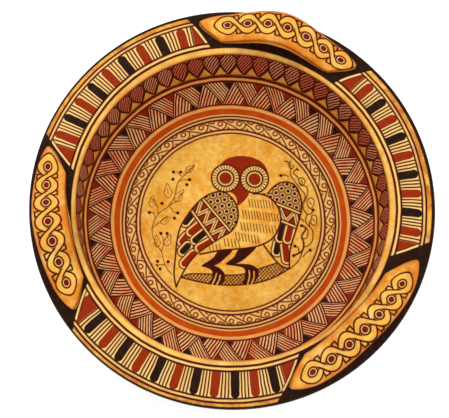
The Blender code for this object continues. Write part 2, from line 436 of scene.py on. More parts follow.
class Paint:
    """One colour of the picture: its depth at each point of the mesh, in mm, positive inside the paint."""

    def __init__(self, points, clip=None):
        self.points = points
        self.depth = np.full(len(points), -FAR)
        self.clip = clip

    def lay(self, near, depth):
        """Adds paint of that depth at the near points, kept inside the clip if there is one."""
        if self.clip is not None:
            depth = np.minimum(depth, self.clip[near])
        self.depth[near] = np.maximum(self.depth[near], depth)

    def near(self, route, room):
        """The points within room of the route's box."""
        low, high = route.min(0) - room, route.max(0) + room
        return np.flatnonzero(((self.points > low) & (self.points < high)).all(1))

    def stroke(self, route, width):
        """A line of that width along the route."""
        route = np.array(route, float)
        near = self.near(route, width + 1.0)
        self.lay(near, width / 2.0 - distance_to(route, self.points[near]))

    def area(self, outline):
        """The inside of a closed outline."""
        outline = np.array(outline, float)
        near = self.near(outline, 1.0)
        edge = distance_to(ringed(outline), self.points[near])
        self.lay(near, np.where(is_inside(outline, self.points[near]), edge, -edge))

    def disc(self, centre, radius):
        """A round spot."""
        centre = np.array([centre], float)
        near = self.near(centre, radius + 1.0)
        self.lay(near, radius - np.linalg.norm(self.points[near] - centre, axis=1))

    def ring(self, centre, radius, width):
        """A round line."""
        centre = np.array([centre], float)
        near = self.near(centre, radius + width + 1.0)
        reach = np.linalg.norm(self.points[near] - centre, axis=1)
        self.lay(near, width / 2.0 - np.abs(reach - radius))

    def add(self, depth):
        """Adds paint of that depth at all the points."""
        self.depth = np.maximum(self.depth, depth)

    def spare(self, depth):
        """Takes the paint away where depth, of another colour or form, is above zero."""
        self.depth = np.minimum(self.depth, -depth)


def form(points, outline):
    """Depth inside a closed outline at all the points, for clipping."""
    whole = Paint(points)
    whole.area(outline)
    return whole.depth


def between(start, end, share):
    """The point at a share of the way from start to end."""
    return tuple(a + (b - a) * share for a, b in zip(start, end))


# The picture's coats from the lowest up, with their colours
PICTURE_COATS = {"wash": BROWN_WASH_AND_SHADE, "pale": OWL_PALE, "red": RED_SLIP, "black": BLACK_SLIP, "ink": INK}

# Owl, in mm on the bowl's floor
LEFT_EYE, RIGHT_EYE = (-3.5, 29.6), (16.0, 29.0)
EYE_RADIUS = 9.4
CROWN = [
    (-10.2, 35.6), (-4.0, 42.0), (1.5, 44.4), (7.5, 45.0), (14.5, 44.0), (20.5, 41.0), (24.0, 36.8),
    (25.6, 32.2),
]
CROWN_MIDDLE = (6.3, 24.0)
BEAK = [
    (0.0, 20.6), (6.3, 26.0), (12.3, 20.6), (10.4, 15.6), (7.6, 12.8), (4.6, 10.8), (4.0, 15.0),
    (2.4, 18.4),
]
LEFT_WING = [
    (-25.5, 9.0), (-20.0, 14.8), (-14.0, 18.6), (-7.5, 20.4), (-2.0, 18.6), (2.8, 13.4), (5.0, 6.5),
    (4.2, -0.5), (0.5, -6.5), (-6.5, -11.0), (-15.0, -16.5), (-22.5, -22.0),
]
LEFT_WING_TIP = [(-22.5, -22.0), (-27.5, -28.0), (-32.5, -36.5), (-36.2, -44.6)]
LEFT_WING_EDGE = [
    (-36.2, -44.6), (-37.6, -36.0), (-37.0, -27.0), (-35.6, -12.0), (-32.6, -2.0), (-25.5, 9.0),
]
RIGHT_WING = [
    (25.0, 19.4), (29.5, 24.4), (35.5, 27.0), (41.5, 26.0), (45.4, 21.0), (47.4, 13.5), (47.0, 6.0),
    (44.2, -4.0), (41.2, -13.0), (39.2, -22.0), (39.0, -32.0),
]
RIGHT_WING_UNDER = [(39.0, -32.0), (34.0, -30.4), (28.5, -25.0), (21.8, -15.8)]
BREAST_SIDE = [
    (15.0, 19.0), (20.0, 18.8), (25.0, 17.0), (29.5, 13.0), (32.6, 7.5), (33.4, 0.0), (30.6, -8.0),
]
BREAST_UNDER = [(30.6, -8.0), (26.5, -12.6), (19.0, -16.4), (10.0, -18.2), (-6.0, -19.6), (-20.5, -22.4)]
STROKE_ROWS = [
    ((12.5, 12.6), (28.0, 11.6), 9), ((8.4, 5.0), (31.5, 2.6), 13), ((7.2, -3.4), (30.0, -5.6), 12),
    ((3.6, -10.0), (18.5, -12.6), 8), ((-4.0, -14.2), (5.5, -15.2), 5), ((-14.0, -18.2), (-7.0, -18.4), 4),
]
LEGS = [
    [(1.2, -19.2), (-7.4, -19.6), (-12.0, -25.0), (-19.0, -29.8), (-17.0, -31.0), (-9.5, -29.4),
     (-4.0, -25.2)], [(16.8, -17.2), (5.8, -19.0), (2.0, -24.4), (-3.0, -28.4), (-1.0, -29.6),
     (6.0, -27.6), (11.5, -23.4)],
]
FEET = [
    [(-19.0, -29.8), (-13.0, -29.6), (-7.6, -31.6), (-4.2, -35.6), (-4.4, -41.2), (-8.0, -42.8),
     (-14.0, -41.8), (-12.4, -38.0), (-12.6, -33.4), (-17.0, -31.0)], [(-3.0, -28.4), (5.6, -28.8),
     (13.4, -29.4), (18.4, -33.0), (17.6, -38.6), (14.0, -42.2), (8.0, -42.2), (9.4, -37.2), (8.6, -31.6),
     (-1.0, -29.6)],
]
TOE_GAPS = [
    [(-9.4, -35.4), (-10.4, -38.6), (-12.2, -42.6)], [(-7.0, -36.6), (-7.6, -39.6), (-9.2, -42.8)],
    [(12.2, -33.4), (12.4, -37.6), (11.2, -42.4)], [(15.4, -34.0), (15.4, -38.0), (13.8, -42.0)],
]
BRANCH_TOP = [
    (-33.0, -37.6), (-27.5, -35.4), (-14.0, -35.4), (-3.5, -36.0), (8.0, -35.4), (19.0, -31.6),
    (31.0, -27.6),
]
BRANCH_UNDER = [
    (40.0, -31.8), (29.0, -38.2), (16.5, -42.2), (1.5, -43.6), (-12.0, -43.0), (-23.0, -41.0),
    (-33.0, -38.6),
]
LEFT_BANDS = [((-18.8, 15.4), (-0.6, -6.4)), ((-26.4, 7.6), (-11.2, -13.9))]
RIGHT_BANDS = [((29.6, 12.6), (46.6, 5.6)), ((33.2, 0.6), (43.8, -3.8))]
LEFT_ZIGZAG = [
    (-19.3, 14.4), (-22.8, 4.3), (-14.2, 8.3), (-18.0, -2.6), (-9.0, 2.1), (-13.6, -8.8), (-3.9, -4.0),
    (-8.4, -13.4),
]
RIGHT_ZIGZAG = [(32.0, 11.2), (36.6, 0.2), (43.0, 6.6), (44.6, -3.0)]
# Bars of the wings, the row behind first: whether black, start and end
LEFT_FEATHERS = [
    (False, (-29.4, -10.4), (-32.2, -14.0)), (True, (-28.6, -16.8), (-31.8, -20.4)),
    (False, (-24.9, -22.4), (-30.7, -28.8)), (True, (-25.6, 5.2), (-30.2, -0.6)),
    (False, (-19.4, -1.5), (-26.4, -7.4)), (True, (-16.4, -6.8), (-23.6, -12.9)),
    (False, (-11.6, -12.9), (-20.6, -18.3)),
]
RIGHT_FEATHERS = [
    (True, (31.6, -15.0), (30.5, -20.4)), (False, (36.3, -16.0), (37.3, -25.6)),
    (True, (35.2, 0.0), (33.0, -11.2)), (False, (40.4, -2.0), (38.0, -12.0)),
]
FEATHER_WIDTH = 4.4
FEATHER_BORDER = 1.5
FEATHER_LINE = 0.36
DOT_ROWS, DOT_COLUMNS = 5, 12
DOT_PITCH = 4.7
DOT_START = (9.0, 2.8)
DOT_ROW_PITCH = 0.87 * DOT_PITCH
DOT_GROUND = 0.62 * DOT_PITCH
DOT_RING, DOT_LINE = 0.47 * DOT_PITCH, 0.5
DOT_RADIUS = 1.15
ZIGZAG_HALF, ZIGZAG_EDGE, ZIGZAG_VEIN = 1.6, 0.4, 0.25
BAND_CLEAR, BAND_HALF = 0.65, 0.7
BAND_LINE, BAND_LINE_AWAY = 0.4, 1.0
# Widths of the picture's lines, and what is left clear between the toes
LEAF_LINE, RIB_LINE, TWIG_LINE, SPRIG_LINE, STEM_LINE = 0.55, 0.5, 0.6, 0.65, 1.0
BRANCH_TOP_LINE, BRANCH_UNDER_LINE = 1.6, 1.8
BRANCH_HATCH = ((14.0, 0.6), (-10.0, 0.45))
BRANCH_PITCH, BRANCH_ENDS, BRANCH_SPAN = 2.4, 60.0, (-48.0, -20.0)
BREAST_STROKE, BREAST_LINE = (0.5, 2.7), 0.7
WING_LINE, BREAST_EDGE_LINE = 0.95, 1.0
BERRY_RADIUS = 1.05
LEAF_BREADTH = 0.26
TOE_GAP = 0.5
# Eyes: pupil, then radius and width of each ring, and the short rays
PUPIL_RADIUS = 3.7
EYE_RINGS = ((3.8, 0.5), (5.6, 1.1), (EYE_RADIUS, 0.95))
RAY_STEP, RAY_ENDS, RAY_LINE = 13.8, (6.9, 9.0), 0.55
SPRIG = [
    (-39.0, -36.0), (-42.5, -32.0), (-44.6, -27.0), (-46.0, -21.0), (-50.6, -14.0), (-52.4, -5.0),
    (-48.5, 4.6), (-41.4, 10.4), (-37.4, 17.6), (-35.4, 26.5), (-29.4, 33.0), (-24.6, 38.0),
]
SPRIG_TWIGS = [
    [(-52.4, -5.0), (-46.5, 0.0), (-42.0, 3.5)], [(-48.5, 4.6), (-49.0, 9.5), (-52.0, 15.0)],
    [(-41.4, 10.4), (-35.0, 14.6), (-32.6, 19.6)], [(-35.4, 26.5), (-32.0, 28.4), (-28.4, 28.0)],
    [(-46.0, -21.0), (-44.6, -14.0), (-46.0, -9.0)], [(-44.6, -14.0), (-42.6, -11.0), (-42.4, -8.4)],
    [(-33.4, 31.0), (-35.6, 33.4), (-38.0, 33.6)], [(-41.4, 10.4), (-37.8, 6.0), (-35.6, 5.4)],
    [(-50.5, 1.5), (-51.6, 5.6), (-54.0, 6.0)], [(-43.6, -29.6), (-47.0, -29.4), (-49.0, -30.2)],
]
LEAVES = [
    ((-30.0, 33.6), (-24.2, 38.6)), ((-41.6, 15.8), (-42.6, 25.8)), ((-37.0, 13.4), (-31.6, 21.6)),
    ((-46.4, -1.6), (-40.0, 2.6)), ((-52.6, 9.4), (-52.4, 17.4)), ((-48.6, -17.6), (-49.6, -9.6)),
    ((-43.4, -17.0), (-40.0, -9.0)),
]
BERRIES = [
    (-38.4, 33.6), (-33.6, 33.6), (-38.8, 28.6), (-27.6, 28.4), (-29.4, 25.0), (-46.0, 12.0),
    (-54.4, 5.8), (-35.4, 5.6), (-37.6, 2.0), (-46.6, -8.4), (-42.4, -8.4), (-48.6, -27.4),
    (-41.6, -27.6), (-49.2, -30.4), (-47.0, -32.6), (45.2, 36.0), (55.1, 7.9), (47.4, -2.8),
    (42.8, -16.7), (41.9, -23.1), (53.0, -19.4), (33.7, 31.5),
]
VINE = [
    (36.3, 41.2), (38.2, 41.2), (39.6, 38.4), (40.4, 35.8), (40.1, 32.6), (42.1, 28.9), (47.1, 22.0),
    (49.5, 19.2), (49.8, 16.3), (48.6, 12.6), (48.6, 8.6), (51.1, 4.9), (50.0, 1.7), (50.5, -1.1),
    (54.4, -5.6), (54.9, -9.6), (54.2, -13.6), (52.0, -16.1), (49.1, -17.3),
]
VINE_TWIGS = [
    [(45.2, 36.0), (43.1, 35.1), (42.2, 33.1), (43.8, 31.6), (45.5, 29.7), (45.8, 27.2), (48.0, 25.2),
     (50.8, 23.7), (51.7, 20.9), (51.1, 17.2), (49.2, 13.1)], [(51.1, 4.9), (54.0, 5.6), (55.1, 7.9)],
    [(54.0, 1.6), (52.8, -0.6), (52.7, -3.6)], [(49.9, -3.7), (51.4, -5.6), (51.5, -8.5), (50.3, -11.4),
     (48.0, -11.4)], [(42.8, -16.7), (44.9, -17.7), (45.3, -20.1), (46.3, -21.5)], [(53.0, -19.4),
     (50.3, -21.2), (48.0, -24.0)], [(48.6, -17.0), (47.5, -21.2), (44.7, -27.2), (39.4, -31.9)],
    [(45.5, 1.6), (47.6, 1.6), (48.8, -0.1)], [(33.7, 31.5), (36.2, 32.0), (38.7, 30.9)],
]
VINE_STEM = [
    (47.4, -2.8), (49.6, -3.7), (49.9, -5.8), (47.9, -8.5), (47.4, -10.8), (48.5, -13.6), (48.6, -17.0),
    (47.6, -19.8), (45.3, -21.5), (42.0, -23.2),
]
VINE_LEAVES = [
    [(40.8, 41.4), (42.7, 39.8), (42.3, 37.3), (40.4, 36.2), (39.2, 38.3), (39.6, 40.4)],
    [(45.7, 29.1), (48.1, 29.9), (50.0, 27.7), (48.5, 24.6), (46.4, 25.6)],
    [(51.5, 14.6), (53.5, 16.3), (56.0, 14.2), (55.0, 10.3), (53.2, 9.0), (51.4, 11.3)],
    [(53.7, 1.5), (54.5, 4.0), (56.8, 4.3), (57.6, 1.7), (57.0, -1.6), (55.2, -2.6), (53.5, -0.6)],
]


def leaf(paint, base, tip):
    """A pointed leaf outline between base and tip, with a short rib."""
    base, tip = np.array(base), np.array(tip)
    side = np.array([base[1] - tip[1], tip[0] - base[0]]) * LEAF_BREADTH
    low, high = base + (tip - base) * 0.3, base + (tip - base) * 0.66
    corners = [base, low + side, high + side * 0.6, tip, high - side * 0.6, low - side]
    paint.stroke(ringed(curve_through(corners, closed=True)), LEAF_LINE)
    paint.stroke([low, high], RIB_LINE)


def side_of(band, points):
    """Signed distance from the line through a band: positive on the shoulder's side."""
    start, end = np.array(band)
    along = (end - start) / np.linalg.norm(end - start)
    return (points - start) @ np.array([-along[1], along[0]])


def draw_wing(inside, bands, zigzag, feather_rows, ink, red, black, pale):
    """A wing inside its outline: ringed dots, a light zigzag on red between two bands, rows of long bars."""
    points = ink.points
    above, above_second = (side_of(band, points) for band in bands)
    start, end = np.array(bands[0])
    along = (end - start) / np.linalg.norm(end - start)
    up = np.array([-along[1], along[0]])
    shoulder = np.minimum(inside, above)
    dots, dot_ground = Paint(points, shoulder), Paint(points, shoulder)
    for row in range(DOT_ROWS):
        for column in range(DOT_COLUMNS):
            across = DOT_PITCH * (column + 0.5 * (row % 2)) - DOT_START[0]
            centre = start + along * across + up * (DOT_START[1] + DOT_ROW_PITCH * row)
            dot_ground.disc(centre, DOT_GROUND)
            dots.ring(centre, DOT_RING, DOT_LINE)
            dots.disc(centre, DOT_RADIUS)
    zone = np.minimum(np.minimum(-above, above_second), inside)
    from_zigzag = distance_to(np.array(zigzag), points)
    red.add(np.minimum(zone, from_zigzag - ZIGZAG_HALF))
    pale.add(dot_ground.depth)
    pale.add(np.minimum(zone, ZIGZAG_HALF - from_zigzag))
    zigzag_ink = np.maximum(ZIGZAG_EDGE - np.abs(from_zigzag - ZIGZAG_HALF), ZIGZAG_VEIN - from_zigzag)
    ink.add(dots.depth)
    ink.add(np.minimum(zone, zigzag_ink))
    beyond = np.minimum(-above_second, inside)
    for is_black, *route in feather_rows:
        reach = FEATHER_WIDTH / 2.0 - distance_to(np.array(route), points)
        area = np.minimum(reach + FEATHER_BORDER, beyond)
        for paint in (ink, red, black, pale):
            paint.spare(area)
        (black if is_black else red).add(np.minimum(reach, beyond))
        pale.add(area)
        ink.add(np.minimum(FEATHER_LINE - np.abs(reach + FEATHER_BORDER), beyond))
    for band in bands:
        from_band = distance_to(np.array(band), points)
        for paint in (ink, red, black):
            paint.spare(BAND_CLEAR - from_band)
        pale.add(np.minimum(BAND_HALF - from_band, inside))
        ink.add(np.minimum(BAND_LINE - np.abs(from_band - BAND_LINE_AWAY), inside))


def draw_eye(centre, ink, red, pale):
    """A round eye: red pupil, light ring, thin rings and short rays."""
    pale.disc(centre, EYE_RADIUS)
    red.disc(centre, PUPIL_RADIUS)
    for radius, width in EYE_RINGS:
        ink.ring(centre, radius, width)
    for ray in np.radians(np.arange(0.0, 360.0, RAY_STEP)):
        direction = np.array([math.cos(ray), math.sin(ray)])
        ink.stroke([np.array(centre) + direction * reach for reach in RAY_ENDS], RAY_LINE)


def draw_owl(points):
    """All the picture's paints, as a dict of name to depth."""
    paints = {name: Paint(points) for name in PICTURE_COATS}
    wash, pale, red, black, ink = paints.values()
    left_edge = joined(LEFT_WING, LEFT_WING_TIP, LEFT_WING_EDGE)[:-1]
    right_edge = joined(RIGHT_WING, RIGHT_WING_UNDER)
    breast_edge = joined(BREAST_SIDE, BREAST_UNDER)
    up_breast = breast_edge[::-1][len(curve_through(BREAST_UNDER)) - CURVE_STEPS:]
    left_inside = form(points, left_edge)
    right_inside = form(points, np.concatenate([right_edge, up_breast]))

    # Plants
    wash.stroke(curve_through(SPRIG), SPRIG_LINE)
    ink.stroke(curve_through(VINE_STEM), STEM_LINE)
    for twig in SPRIG_TWIGS:
        wash.stroke(curve_through(twig), TWIG_LINE)
    for twig in VINE_TWIGS + [VINE]:
        ink.stroke(curve_through(twig), TWIG_LINE)
    for base, tip in LEAVES:
        leaf(wash, base, tip)
    for outline in VINE_LEAVES:
        outline = curve_through(outline, closed=True)
        ink.stroke(ringed(outline), LEAF_LINE)
        ink.stroke([outline.mean(0) + (-0.5, 1.0), outline.mean(0) + (0.6, -0.8)], RIB_LINE)
    for centre in BERRIES:
        ink.disc(centre, BERRY_RADIUS)

    # Branch with crossed lines
    branch = form(points, np.concatenate([curve_through(BRANCH_TOP), curve_through(BRANCH_UNDER)]))
    hatch = Paint(points, np.minimum(branch, -np.maximum(left_inside, right_inside)))
    low, high = BRANCH_SPAN
    for x in np.arange(-BRANCH_ENDS, BRANCH_ENDS, BRANCH_PITCH):
        for slant, width in BRANCH_HATCH:
            hatch.stroke([(x - slant, low), (x + slant, high)], width)
    hatch.stroke(curve_through(BRANCH_TOP), BRANCH_TOP_LINE)
    hatch.stroke(curve_through(BRANCH_UNDER), BRANCH_UNDER_LINE)
    ink.add(hatch.depth)

    # Breast strokes
    aside, reach = BREAST_STROKE
    for start, end, count in STROKE_ROWS:
        for k in range(count):
            x, y = between(start, end, k / (count - 1))
            wash.stroke([(x - aside, y + reach), (x + aside, y - reach)], BREAST_LINE)

    draw_wing(left_inside, LEFT_BANDS, LEFT_ZIGZAG, LEFT_FEATHERS, ink, red, black, pale)
    draw_wing(right_inside, RIGHT_BANDS, RIGHT_ZIGZAG, RIGHT_FEATHERS, ink, red, black, pale)
    ink.stroke(ringed(left_edge), WING_LINE)
    for edge in (right_edge, breast_edge):
        ink.stroke(edge, BREAST_EDGE_LINE)

    # Legs and feet over the branch
    for outline in LEGS + FEET:
        ink.area(curve_through(outline, closed=True))
    for gap in TOE_GAPS:
        ink.spare(TOE_GAP - distance_to(curve_through(gap), points))

    # Head
    head = Paint(points)
    head.area(np.concatenate([curve_through(CROWN), [CROWN_MIDDLE]]))
    head.area(curve_through(BEAK, closed=True))
    for centre in (LEFT_EYE, RIGHT_EYE):
        clear = EYE_RADIUS - np.linalg.norm(points - np.array(centre), axis=1)
        head.spare(clear + 0.2)
        for paint in (ink, red, wash, black):
            paint.spare(clear)
    red.add(head.depth)
    for centre in (LEFT_EYE, RIGHT_EYE):
        draw_eye(centre, ink, red, pale)
    return {name: paint.depth for name, paint in paints.items()}


def store_picture(piece):
    """Keeps the picture's paint depths on the dish as point attributes; elsewhere they stay far outside."""
    mesh = piece.data
    places = np.empty(3 * len(mesh.vertices), np.float32)
    mesh.vertices.foreach_get("co", places)
    places = places.reshape(-1, 3) / MM
    on_floor = np.hypot(places[:, 0], places[:, 1]) < PICTURE_RADIUS + 0.1
    on_floor &= places[:, 2] > FLOOR_HEIGHT - 0.5
    for name, depth in draw_owl(places[on_floor, :2].astype(float)).items():
        values = np.full(len(places), -FAR, np.float32)
        values[on_floor] = depth
        mesh.attributes.new(name, "FLOAT", "POINT").data.foreach_set("value", values)


# Shader expressions


def linear(colour):
    """Linear red, green, blue and a full alpha from a colour given as the eye sees it."""
    shares = [part / 255.0 for part in colour]
    return tuple(s / 12.92 if s <= 0.04045 else ((s + 0.055) / 1.055) ** 2.4 for s in shares) + (1.0,)


def math_method(operation, swapped=False):
    """A method of Flow that adds one Math node. The flow is its first value, or its last if swapped."""

    def method(self, *others):
        return self.math(operation, *others, self) if swapped else self.math(operation, self, *others)

    return method


class Flow:
    """A shader socket in an expression: arithmetic on it adds Math nodes to its material."""

    def __init__(self, tree, socket=None):
        self.tree = tree
        self.socket = socket

    def node(self, kind, settings=None, inputs=None, output=0):
        """Adds a node, sets its settings and its sockets' values or links, and gives one of its outputs."""
        made = self.tree.nodes.new(kind)
        for name, value in (settings or {}).items():
            setattr(made, name, value)
        for name, value in (inputs or {}).items():
            if isinstance(value, Flow):
                self.tree.links.new(value.socket, made.inputs[name])
            else:
                made.inputs[name].default_value = value
        return None if output is None else Flow(self.tree, made.outputs[output])

    def math(self, operation, *values):
        return self.node("ShaderNodeMath", {"operation": operation}, dict(enumerate(values)))

    __add__ = __radd__ = math_method("ADD")
    __sub__ = math_method("SUBTRACT")
    __rsub__ = math_method("SUBTRACT", swapped=True)
    __mul__ = __rmul__ = math_method("MULTIPLY")
    __truediv__ = math_method("DIVIDE")
    __mod__ = math_method("FLOORED_MODULO")
    __abs__ = math_method("ABSOLUTE")
    least = math_method("MINIMUM")
    most = math_method("MAXIMUM")
    power = math_method("POWER")
    floor = math_method("FLOOR")
    above = math_method("GREATER_THAN")
    sine = math_method("SINE")
    cosine = math_method("COSINE")

    def __neg__(self):
        return self * -1.0

    def hypot(self, other):
        return self.math("SQRT", self * self + other * other)

    def cover(self, soft=SOFT_EDGE):
        """Share of paint from its depth in mm: 0 outside, 1 inside, with a soft edge."""
        settings = {"operation": "MULTIPLY_ADD", "use_clamp": True}
        return self.node("ShaderNodeMath", settings, {0: self, 1: 0.5 / soft, 2: 0.5})


def mix(under, over, share):
    """A colour between two colours; each is 0-255 numbers or a flow."""
    flow = share if isinstance(share, Flow) else under
    parts = [part if isinstance(part, Flow) else linear(part) for part in (under, over)]
    return flow.node("ShaderNodeMix", {"data_type": "RGBA"}, {0: share, 6: parts[0], 7: parts[1]}, output=2)


class Place:
    """Where the shaded point is: radius, angle and height about the axis, as an unsteady hand meets them."""

    def __init__(self, tree):
        start = Flow(tree)
        point = start.node("ShaderNodeTexCoord", output=3)
        scaling = {0: point, "Scale": 1.0 / MM}
        self.point = start.node("ShaderNodeVectorMath", {"operation": "SCALE"}, scaling)
        x, y, z = (start.node("ShaderNodeSeparateXYZ", None, {0: self.point}, k) for k in range(3))
        true_radius = x.hypot(y)
        self.tree = tree
        self.true_radius = true_radius
        self.radius = true_radius + (self.noise(0.09) - 0.5) * HAND_WOBBLE
        turn = start.math("ARCTAN2", y, x) * math.degrees(1.0)
        self.angle = (turn + (self.noise(0.075, seed=7.0) - 0.5) * HAND_WOBBLE) % 360.0
        self.height = z + (self.noise(0.09, seed=3.0) - 0.5) * HAND_WOBBLE

    def noise(self, scale, detail=2.0, roughness=0.5, seed=0.0):
        """Noise of about 0 to 1, with features of 1 / scale millimetres."""
        inputs = {"Vector": self.point, "W": seed, "Scale": scale, "Detail": detail, "Roughness": roughness}
        return Flow(self.tree).node("ShaderNodeTexNoise", {"noise_dimensions": "4D"}, inputs)

    def ring(self, radius, width):
        """Depth inside a round line of that width."""
        return width / 2.0 - abs(self.radius - radius)

    def wave(self, angle):
        """Sine of the angle round the axis from the given one."""
        return ((self.angle - angle) * math.radians(1.0)).sine()

    def from_angle(self, angle):
        """Signed millimetres round the axis from an angle, the short way."""
        away = (self.angle - angle + 180.0) % 360.0 - 180.0
        return away * math.radians(1.0) * self.radius

    def within(self, start, end, inner_start, inner_end):
        """Depth inside a patch of rim between slanting ends, each given at the rim's edge and at the lip."""
        outward = (self.radius - PATCH_LIP) / PATCH_WIDTH
        after = self.from_angle(inner_start) - outward * (math.radians(start - inner_start) * self.radius)
        before = outward * (math.radians(end - inner_end) * self.radius) - self.from_angle(inner_end)
        return after.least(before)


def spread(noise, low, high):
    """Stretches noise so that low becomes 0 and high 1."""
    return ((noise - low) / (high - low)).most(0.0).least(1.0)


def clouded(place, ground, clouds):
    """A ground with clouds mixed in.

    A cloud is its colour and share, its noise's scale, detail, roughness and seed, and the noise at which it
    begins and is full.
    """
    for colour, share, scale, detail, roughness, seed, begin, full in clouds:
        noise = place.noise(scale, detail, roughness, seed=seed)
        ground = mix(ground, colour, spread(noise, begin, full) * share)
    return ground


CLAY_CLOUDS = (
    (STRAW, 1.0, 0.05, 4.0, 0.6, 0.0, 0.36, 0.64), (AMBER, 0.6, 0.1, 5.0, 0.65, 5.0, 0.5, 0.72),
    (AMBER, 0.5, 0.26, 4.0, 0.7, 7.0, 0.48, 0.68), (PALE, 0.5, 0.3, 4.0, 0.65, 6.0, 0.48, 0.66),
    (BROWN_WASH_AND_SHADE, 0.4, 0.42, 4.0, 0.65, 8.0, 0.55, 0.8), (BROWN_WASH_AND_SHADE, 0.3, 1.1, 3.0, 0.6, 9.0, 0.6, 0.75),
)


def clay_ground(place):
    """Golden slip: straw and honey clouds, amber stains, small smudges and fine darker specks."""
    return clouded(place, HONEY, CLAY_CLOUDS)


def slip(place, colour, seed):
    """A slip colour, a little thinner in places so that the clay glows through."""
    worn = place.noise(0.35, 4.0, 0.7, seed=seed)
    thin = tuple(part + (clay - part) * 0.14 for part, clay in zip(colour, HONEY))
    return mix(colour, thin, spread(worn, 0.5, 0.8))


def paint_over(place, under, coats):
    """Lays coats of (colour, depth) over a ground, the last on top; ink bleeds red-brown at its edge."""
    for count, (colour, depth) in enumerate(coats):
        if colour in (INK, FLOOR_INK):
            under = mix(under, INK_BLEED, (depth + BLEED_REACH).cover(BLEED_SOFT) * BLEED_SHARE)
        under = mix(under, slip(place, colour, 11.0 + count), depth.cover())
    return under


def most_of(depths):
    """The paint of several coats together."""
    together = depths[0]
    for depth in depths[1:]:
        together = together.most(depth)
    return together


def attribute(place, name):
    return Flow(place.tree).node("ShaderNodeAttribute", {"attribute_name": name}, output=2)


def picture_paint(place):
    """The owl and its plants, inside the innermost line."""
    coats = [(colour, attribute(place, name)) for name, colour in PICTURE_COATS.items()]
    return paint_over(place, clay_ground(place), coats)


SCROLLS = 34
SCROLL_START = 31.0
SCROLL_UNEVEN = 3.4
SCROLL_MIDDLE = 66.4
SCROLL_HALF = 3.2
# In one step of the scroll: the curl's centre, radius and half line width of curl and wave, and the width of
# the straight lines: the wave's rising line and its end in the next step, then two for a notch at the outer
# border and two for one at the inner border
CURL = (4.5, 1.0)
CURL_RADIUS, CURL_LINE = 1.45, 0.35
WAVE_RADIUS, WAVE_LINE = 4.1, 0.37
SCROLL_LINE = 0.7
SCROLL_LINES = (
    ((4.7, -3.1), (15.9, 3.2)), ((-7.6, -3.1), (3.6, 3.2)), ((7.8, 3.2), (9.0, 1.7)),
    ((9.0, 1.7), (12.5, 2.7)), ((10.1, -3.2), (11.7, -2.0)), ((11.7, -2.0), (13.3, -3.2)),
)


def segment(x, y, start, end, width):
    """Depth inside a straight line between two points of the plane x, y."""
    dx, dy = end[0] - start[0], end[1] - start[1]
    share = ((x - start[0]) * dx + (y - start[1]) * dy) / (dx * dx + dy * dy)
    share = share.most(0.0).least(1.0)
    return width / 2.0 - (x - start[0] - share * dx).hypot(y - start[1] - share * dy)


def scroll_band(place):
    """Running wave between two borders: depth of its lines.

    In each step the wave comes down round the left of an open curl in a quarter circle and rises straight to
    the outer border. The steps are a little wider on one side of the dish.
    """
    step = 360.0 / SCROLLS
    uneven = place.wave(-40.0) * SCROLL_UNEVEN
    x = ((place.angle + uneven - SCROLL_START) % step) * (math.radians(1.0) * SCROLL_MIDDLE)
    y = place.radius - SCROLL_MIDDLE
    across, up = x - CURL[0], y - CURL[1]
    reach = across.hypot(up)
    curl = (CURL_LINE - abs(reach - CURL_RADIUS)).least((across + 1.0).most(0.9 - up))
    wave = (WAVE_LINE - abs(reach - WAVE_RADIUS)).least(0.3 - across).least(0.2 - up)
    lines = [segment(x, y, start, end, SCROLL_LINE) for start, end in SCROLL_LINES]
    return most_of([curl, wave] + lines)


ZIGZAGS = 29
ZIGZAG_START = 7.0
ZIGZAG_INNER, ZIGZAG_OUTER = 80.4, 95.2
RISING_RUN = 7.3
HATCHES = 6.0
HANGING_CORNER, STANDING_CORNER = 0.36, 0.27
ZIGZAG_LINE = 0.45


def zigzag_band(place, ground):
    """Triangles up and down between slanting edges, hatched along their longer side, with a solid corner.

    Rising edges are lines of whole numbers in the first count and falling edges in the second, so that the
    two counts have the same whole part inside a triangle that stands on the inner border.
    """
    step = 360.0 / ZIGZAGS
    step_mm = math.radians(step) * (ZIGZAG_INNER + ZIGZAG_OUTER) / 2.0
    height = (place.radius - ZIGZAG_INNER) / (ZIGZAG_OUTER - ZIGZAG_INNER)
    rising = (place.angle - ZIGZAG_START - height * RISING_RUN) / step
    falling = (place.angle - ZIGZAG_START + height * (step - RISING_RUN)) / step
    unit = rising.floor()
    standing = 1.0 - (falling.floor() - unit)
    share = standing * (falling % 1.0) + (1.0 - standing) * (rising % 1.0)
    corner = HANGING_CORNER - standing * (HANGING_CORNER - STANDING_CORNER)
    unsteady = place.noise(0.22, 2.0, seed=21.0) * 0.5
    stripe = abs(((share - corner) * HATCHES / (1.0 - corner) + unsteady) % 1.0 - 0.5)
    light = (stripe - 0.25) * 1.9
    to_rising = abs((rising + 0.5) % 1.0 - 0.5) * (step_mm * 0.8)
    to_falling = abs((falling + 0.5) % 1.0 - 0.5) * (step_mm * 0.88)
    edges = ZIGZAG_LINE - to_rising.least(to_falling)
    solid = (corner - share) * (step_mm * 0.85)
    is_red = ((unit + 2.0 - standing * 2.0 + 0.5) % 4.0).above(2.0)
    tint = clouded(place, HATCH_LINES, ((HATCH_PALE, 1.0, 0.13, 2.0, 0.5, 22.0, 0.38, 0.6),))
    field = mix(slip(place, HATCH_GROUND, 24.0), tint, light.cover(0.12))
    field = mix(field, slip(place, BLACK_SLIP, 25.0), solid.least(0.5 - is_red).cover())
    field = mix(field, slip(place, RED_SLIP, 26.0), solid.least(is_red - 0.5).cover())
    field = mix(field, INK, edges.cover())
    inside = (place.radius - ZIGZAG_INNER).least(ZIGZAG_OUTER - place.radius)
    return mix(ground, field, inside.cover())


